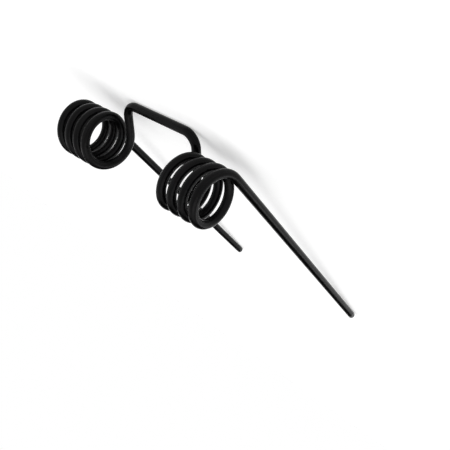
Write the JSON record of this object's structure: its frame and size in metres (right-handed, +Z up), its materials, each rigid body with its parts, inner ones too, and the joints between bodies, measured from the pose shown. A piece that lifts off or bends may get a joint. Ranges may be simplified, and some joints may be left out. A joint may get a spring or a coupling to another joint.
{
  "type": "double coil spring",
  "caption": "Double torsion spring bent from one round wire, with a bridge between its coils and long straight legs.",
  "frame": {"origin": "on the surface it lies on, below the middle of its bounding box", "axes": "+Z up as it comes to rest on its bridge and leg tips; the coils share an axis along X, and the legs run towards +Y"},
  "size_m": [0.2402, 0.4542, 0.0812],
  "materials": {
    "paint": "black paint, satin to semi-gloss"
  },
  "bodies": {
    "root": {"spring_wire": "paint"}
  },
  "joints": []
}
